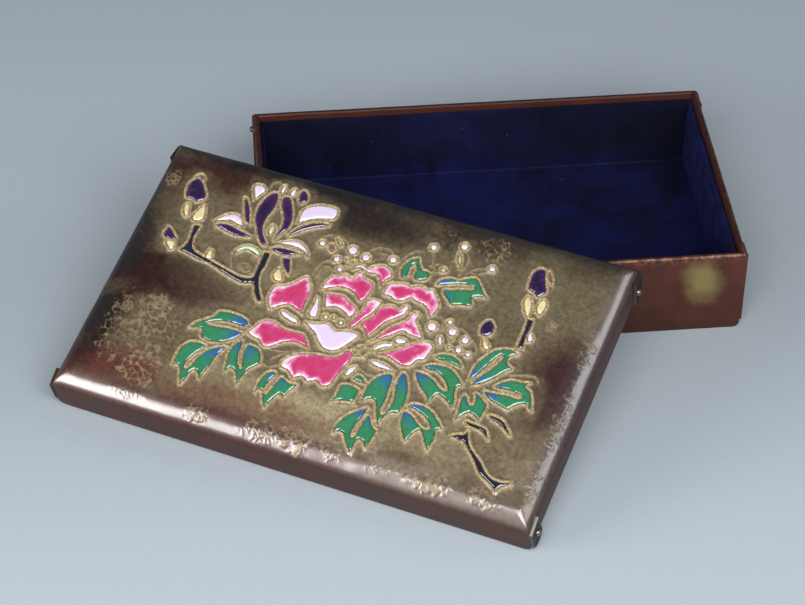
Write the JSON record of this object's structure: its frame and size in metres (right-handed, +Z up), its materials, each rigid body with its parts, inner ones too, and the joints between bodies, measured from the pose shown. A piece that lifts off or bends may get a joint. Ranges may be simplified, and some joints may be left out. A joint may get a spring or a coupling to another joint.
{
  "type": "cloisonne enamel box",
  "caption": "Low rectangular copper box with a velvet-lined tray and an enamelled flower lid that leans on the tray's rim.",
  "frame": {"origin": "middle of the tray's underside, where it stands", "axes": "+X along the tray's length to the right, +Y to the tray's back, +Z up; the lid leans at the front left"},
  "size_m": [0.3338, 0.2791, 0.0668],
  "materials": {
    "tray_copper": "patinated copper sheet, satin",
    "lid_copper": "patinated and gilt copper sheet, satin",
    "velvet": "navy blue velvet",
    "tack": "dark patinated copper tack",
    "pink_enamel": "opaque glossy vitreous enamel",
    "pale_enamel": "opaque glossy vitreous enamel",
    "purple_enamel": "dark glossy vitreous enamel",
    "mint_enamel": "opaque glossy vitreous enamel",
    "green_enamel": "glossy vitreous enamel, green into blue",
    "dark_enamel": "dark blue glossy vitreous enamel"
  },
  "bodies": {
    "root": {"tray_shell": "tray_copper", "lining_floor": "velvet", "lining_front": "velvet", "lining_back": "velvet", "lining_left": "velvet", "lining_right": "velvet", "tray_tack_1": "tack", "tray_tack_2": "tack", "tray_tack_3": "tack", "tray_tack_4": "tack", "tray_tack_5": "tack", "tray_tack_6": "tack", "tray_tack_7": "tack", "tray_tack_8": "tack", "lid_shell": "lid_copper", "lid_tack_1": "tack", "lid_tack_2": "tack", "lid_tack_3": "tack", "lid_tack_4": "tack", "enamel_peony_petal_1": "pink_enamel", "enamel_peony_petal_2": "pink_enamel", "enamel_peony_petal_3": "pink_enamel", "enamel_peony_petal_4": "pink_enamel", "enamel_peony_petal_5": "pink_enamel", "enamel_peony_petal_6": "pink_enamel", "enamel_peony_petal_7": "pink_enamel", "enamel_peony_petal_8": "pink_enamel", "enamel_peony_petal_9": "pink_enamel", "enamel_peony_petal_10": "pink_enamel", "enamel_peony_petal_11": "pink_enamel", "enamel_peony_heart_1": "pale_enamel", "enamel_magnolia_purple_1": "purple_enamel", "enamel_magnolia_purple_2": "purple_enamel", "enamel_magnolia_purple_3": "purple_enamel", "enamel_magnolia_pale_1": "pale_enamel", "enamel_magnolia_pale_2": "pale_enamel", "enamel_magnolia_pale_3": "pale_enamel", "enamel_magnolia_pale_4": "pale_enamel", "enamel_bud_1": "purple_enamel", "enamel_bud_2": "purple_enamel", "enamel_bud_3": "purple_enamel", "enamel_moon_1": "mint_enamel", "enamel_leaf_1": "green_enamel", "enamel_leaf_2": "green_enamel", "enamel_leaf_3": "green_enamel", "enamel_leaf_4": "green_enamel", "enamel_leaf_5": "green_enamel", "enamel_leaf_6": "green_enamel", "enamel_leaf_7": "green_enamel", "enamel_leaf_8": "green_enamel", "enamel_leaf_9": "green_enamel", "enamel_leaf_10": "green_enamel", "enamel_leaf_11": "green_enamel", "enamel_leaf_12": "green_enamel", "enamel_leaf_13": "green_enamel", "enamel_leaf_slip_1": "green_enamel", "enamel_leaf_slip_2": "green_enamel", "enamel_branch_left": "dark_enamel", "enamel_branch_right": "dark_enamel", "enamel_stem_right": "dark_enamel"}
  },
  "joints": []
}
